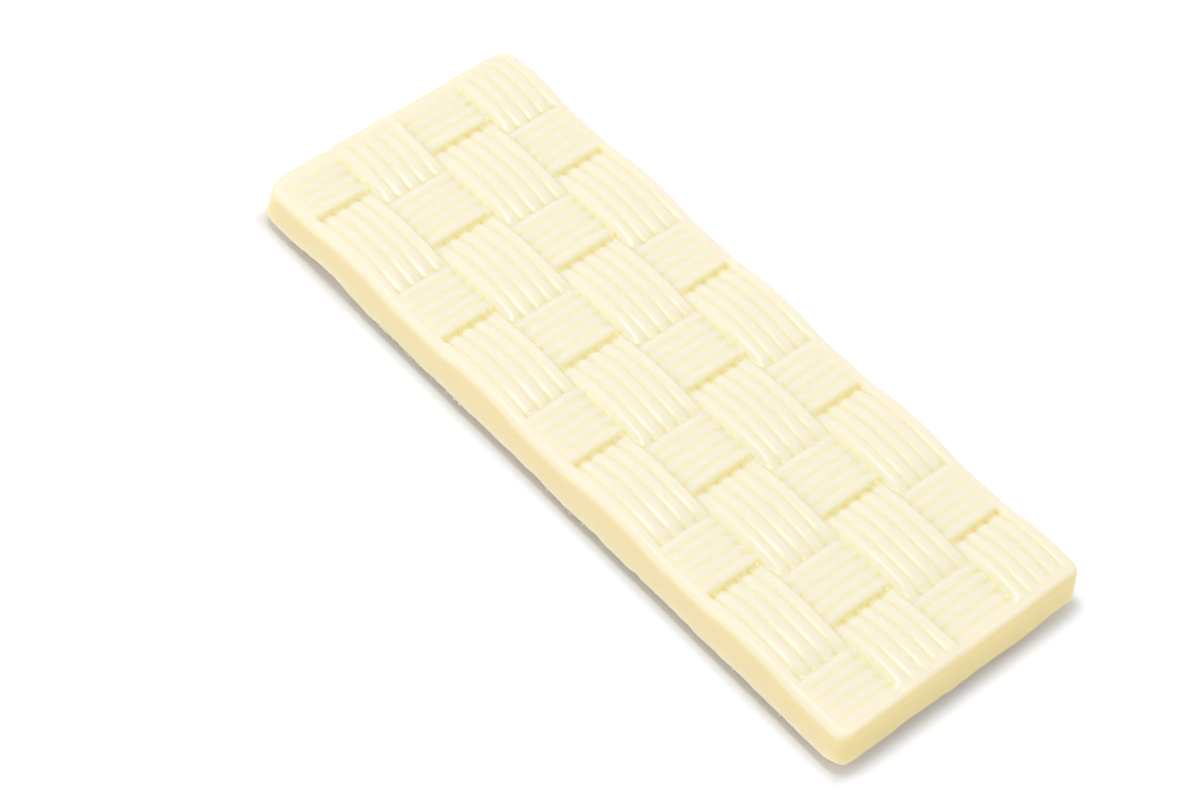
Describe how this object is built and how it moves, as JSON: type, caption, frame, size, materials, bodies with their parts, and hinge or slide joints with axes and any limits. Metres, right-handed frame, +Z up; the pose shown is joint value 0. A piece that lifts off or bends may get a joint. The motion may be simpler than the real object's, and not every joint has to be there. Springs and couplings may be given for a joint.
{
  "type": "chocolate bar",
  "caption": "White chocolate bar moulded in a ribbed basket weave, with crumbs and sugar sprinkles pressed into its back.",
  "frame": {"origin": "on the floor, under the middle of the bar", "axes": "+X along the bar, +Y across it, +Z up out of the woven face"},
  "size_m": [0.1148, 0.0444, 0.0082],
  "materials": {
    "white_chocolate": "satin",
    "biscuit_crumbs": "matte",
    "sugar": "matte",
    "sprinkles": "satin"
  },
  "bodies": {
    "root": {"chocolate_bar": "white_chocolate"}
  },
  "joints": []
}
